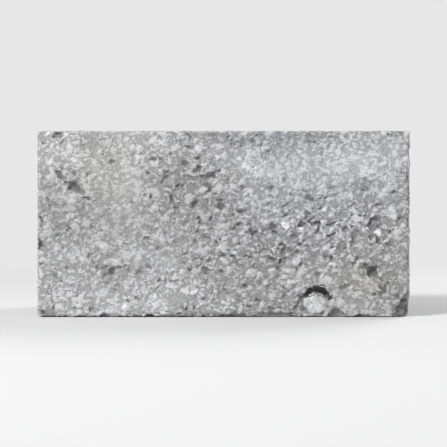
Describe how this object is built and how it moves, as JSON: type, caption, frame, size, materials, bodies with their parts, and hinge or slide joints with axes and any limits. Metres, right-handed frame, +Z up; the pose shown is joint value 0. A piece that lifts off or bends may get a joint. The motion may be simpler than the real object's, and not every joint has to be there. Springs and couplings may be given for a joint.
{
  "type": "concrete block",
  "caption": "Hollow concrete masonry block with tapered cores that flare in at the top, recessed ends and a weathered, pitted face.",
  "frame": {"origin": "middle of the underside, where the block rests on its bed joint", "axes": "+X along the wall, to the right for someone who faces the front; +Y from the front face through the wall; +Z up, with the cores' narrow mouths on top"},
  "size_m": [0.4, 0.2, 0.2],
  "materials": {
    "concrete": "matte"
  },
  "bodies": {
    "root": {"block": "concrete"}
  },
  "joints": []
}
